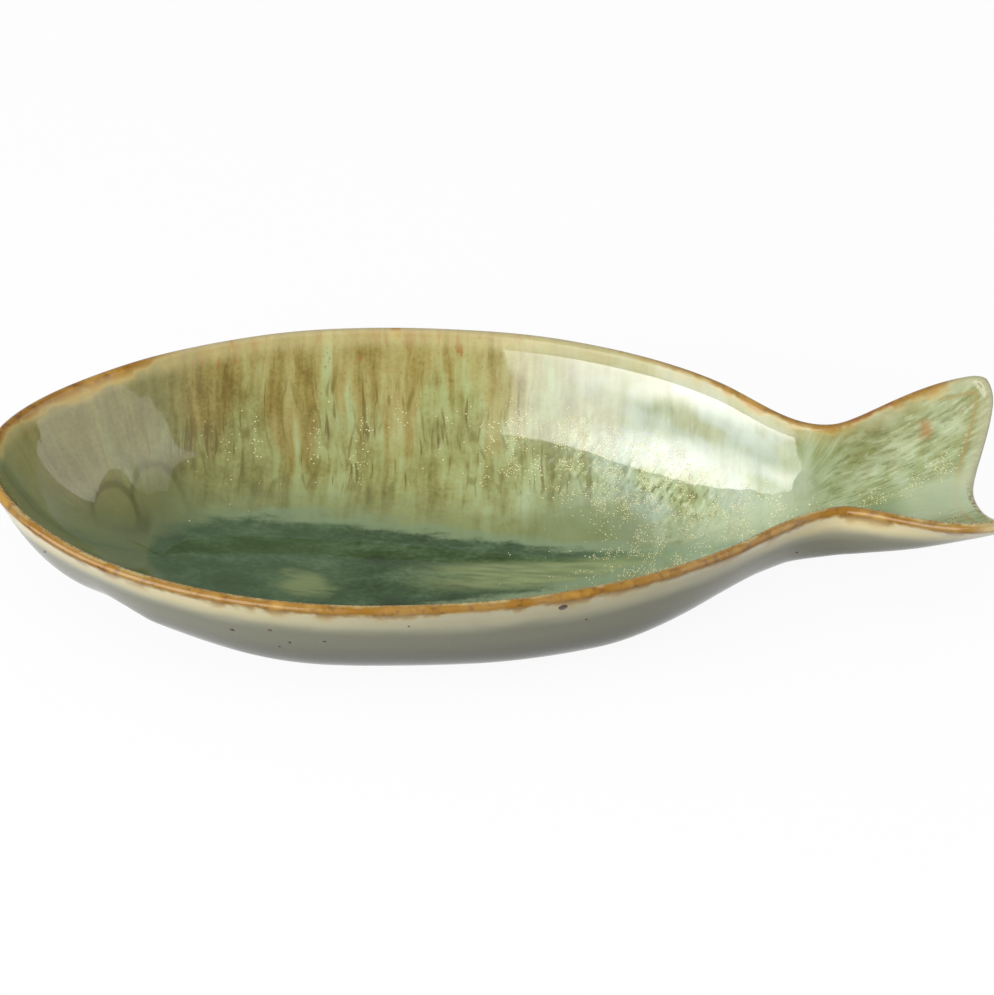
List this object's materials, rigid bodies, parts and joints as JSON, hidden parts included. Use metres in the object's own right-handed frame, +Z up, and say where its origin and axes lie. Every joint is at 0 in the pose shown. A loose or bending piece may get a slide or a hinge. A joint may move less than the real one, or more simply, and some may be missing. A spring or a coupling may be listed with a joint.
{
  "type": "fish-shaped dish",
  "caption": "Fish-shaped stoneware serving dish with a deep oval bowl, a narrow waist, a flared notched tail and reactive green glaze.",
  "frame": {"origin": "on the table under the middle of the dish's box", "axes": "+X from the mouth towards the tail, +Y across the dish, +Z up out of the bowl"},
  "size_m": [0.3033, 0.139, 0.0544],
  "materials": {
    "stoneware": "fired buff clay under the coats",
    "bare_stoneware": "unglazed, fine sandy grain",
    "green_glaze": "glossy reactive glaze, streaked and speckled",
    "pooled_glaze": "thick glossy glaze, dark green",
    "brown_glaze": "glossy iron-brown breaking over the lip",
    "white_glaze": "glossy off-white with iron specks",
    "white_base_glaze": "glossy off-white"
  },
  "bodies": {
    "root": {"stoneware_body": "stoneware", "foot_ring": "bare_stoneware", "inner_glaze": "green_glaze", "glaze_pool": "pooled_glaze", "rim_glaze": "brown_glaze", "outer_glaze": "white_glaze", "base_glaze": "white_base_glaze"}
  },
  "joints": []
}
